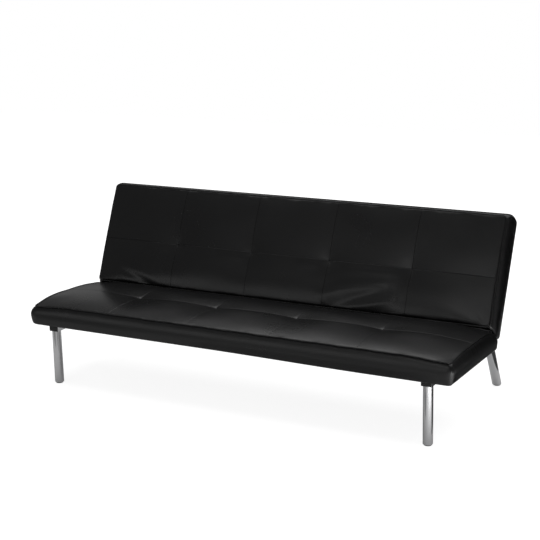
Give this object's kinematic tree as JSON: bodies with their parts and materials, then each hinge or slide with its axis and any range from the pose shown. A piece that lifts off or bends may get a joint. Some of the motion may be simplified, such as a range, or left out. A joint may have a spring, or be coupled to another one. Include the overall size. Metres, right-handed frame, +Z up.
{
  "type": "sofa bed",
  "caption": "Armless sofa bed: long upholstered seat and ratchet-hinged back with sewn channels and pinched tufts, on a chrome tube frame with splayed rear legs.",
  "frame": {"origin": "on the floor, under the middle of the whole sofa bed", "axes": "+X along the sofa, +Y towards its back, +Z up"},
  "size_m": [1.806, 0.7732, 0.7273],
  "materials": {
    "faux_leather": "satin",
    "piping": "satin",
    "chrome": "polished",
    "zinc_steel": "satin",
    "black_plastic": "satin",
    "rubber": "matte",
    "pine": "matte",
    "hardboard": "matte",
    "lining": "matte"
  },
  "bodies": {
    "frame": {"arm_bolt_left": "zinc_steel", "arm_bolt_right": "zinc_steel", "arm_cap_left": "black_plastic", "arm_cap_right": "black_plastic", "arm_spacer_left": "zinc_steel", "arm_spacer_right": "zinc_steel", "back_buffer_left": "rubber", "back_buffer_right": "rubber", "front_cross_tube": "chrome", "front_left_foot": "black_plastic", "front_left_leg": "chrome", "front_left_leg_bolt": "zinc_steel", "front_right_foot": "black_plastic", "front_right_leg": "chrome", "front_right_leg_bolt": "zinc_steel", "hinge_pin_left": "zinc_steel", "hinge_pin_right": "zinc_steel", "hinge_seat_plate_left": "zinc_steel", "hinge_seat_plate_right": "zinc_steel", "hinge_spring_left": "zinc_steel", "hinge_spring_right": "zinc_steel", "rail_cap_left": "black_plastic", "rail_cap_right": "black_plastic", "rear_arm_left": "chrome", "rear_arm_right": "chrome", "rear_cross_tube": "chrome", "rear_left_foot": "black_plastic", "rear_left_leg": "chrome", "rear_left_leg_bolt": "zinc_steel", "rear_right_foot": "black_plastic", "rear_right_leg": "chrome", "rear_right_leg_bolt": "zinc_steel", "seat_cross_board_left": "pine", "seat_cross_board_right": "pine", "seat_dust_cover": "lining", "seat_end_board_left": "pine", "seat_end_board_right": "pine", "seat_far_board": "pine", "seat_hinge_board": "pine", "seat_pad": "faux_leather", "seat_panel": "hardboard", "seat_piping": "piping", "side_rail_left": "chrome", "side_rail_right": "chrome"},
    "back": {"back_cross_board_left": "pine", "back_cross_board_right": "pine", "back_dust_cover": "lining", "back_end_board_left": "pine", "back_end_board_right": "pine", "back_far_board": "pine", "back_hinge_board": "pine", "back_pad": "faux_leather", "back_panel": "hardboard", "back_piping": "piping", "hinge_ratchet_left": "zinc_steel", "hinge_ratchet_right": "zinc_steel"},
    "pawl_left": {"hinge_pawl_left": "zinc_steel"},
    "pawl_right": {"hinge_pawl_right": "zinc_steel"}
  },
  "joints": [
    {"name": "back_recline", "type": "hinge", "parent": "frame", "child": "back", "pos_m": [0, 0.07638, 0.284], "axis": [-1, 0, 0], "range_deg": [0, 67]},
    {"name": "pawl_lift_left", "type": "hinge", "parent": "frame", "child": "pawl_left", "pos_m": [-0.843, 0.02638, 0.262], "axis": [1, 0, 0], "range_deg": [0, 8], "stiffness_Nm_per_rad": 0.4, "springref_deg": -8.59, "deforming": ["hinge_spring_left"]},
    {"name": "pawl_lift_right", "type": "hinge", "parent": "frame", "child": "pawl_right", "pos_m": [0.843, 0.02638, 0.262], "axis": [1, 0, 0], "range_deg": [0, 8], "stiffness_Nm_per_rad": 0.4, "springref_deg": -8.59, "deforming": ["hinge_spring_right"]}
  ]
}
